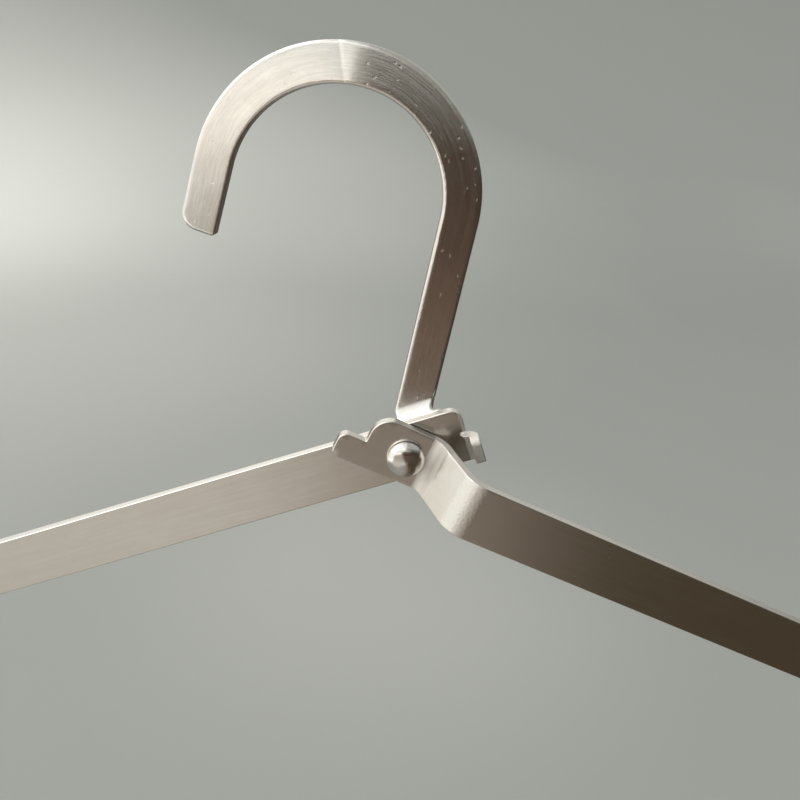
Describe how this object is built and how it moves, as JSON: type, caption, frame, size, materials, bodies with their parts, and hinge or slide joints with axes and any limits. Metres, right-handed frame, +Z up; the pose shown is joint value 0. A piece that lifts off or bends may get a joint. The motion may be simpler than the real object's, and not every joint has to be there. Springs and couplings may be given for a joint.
{
  "type": "folding travel hanger",
  "caption": "Flat metal clothes hanger that folds for travel: stamped arms and a flat stamped hook turn on one domed rivet.",
  "frame": {"origin": "the point under the hook's crown that rests on a rail, at the end of the crown's fold line and halfway through the plate", "axes": "+Z up; the viewer of the front stands on the -Y side, with +X to that viewer's right along the spread arms"},
  "size_m": [0.3722, 0.0317, 0.158],
  "materials": {
    "left_arm_satin": "satin sheet metal with bright sheared edges",
    "right_arm_satin": "satin sheet metal, slightly rough on its bends",
    "hook_brushed": "brushed sheet metal with small pits",
    "rivet_polished": "polished domed head"
  },
  "bodies": {
    "hook": {"hook": "hook_brushed", "pivot_rivet": "rivet_polished"},
    "left_arm": {"left_arm": "left_arm_satin"},
    "right_arm": {"right_arm": "right_arm_satin"}
  },
  "joints": [
    {"name": "left_arm_pivot", "type": "hinge", "parent": "hook", "child": "left_arm", "pos_m": [0.01737, -0.01135, -0.07188], "axis": [0, 1, 0], "continuous": true},
    {"name": "right_arm_pivot", "type": "hinge", "parent": "left_arm", "child": "right_arm", "pos_m": [0.01737, -0.01135, -0.07188], "axis": [0, 1, 0], "range_deg": [-170, 136]}
  ]
}
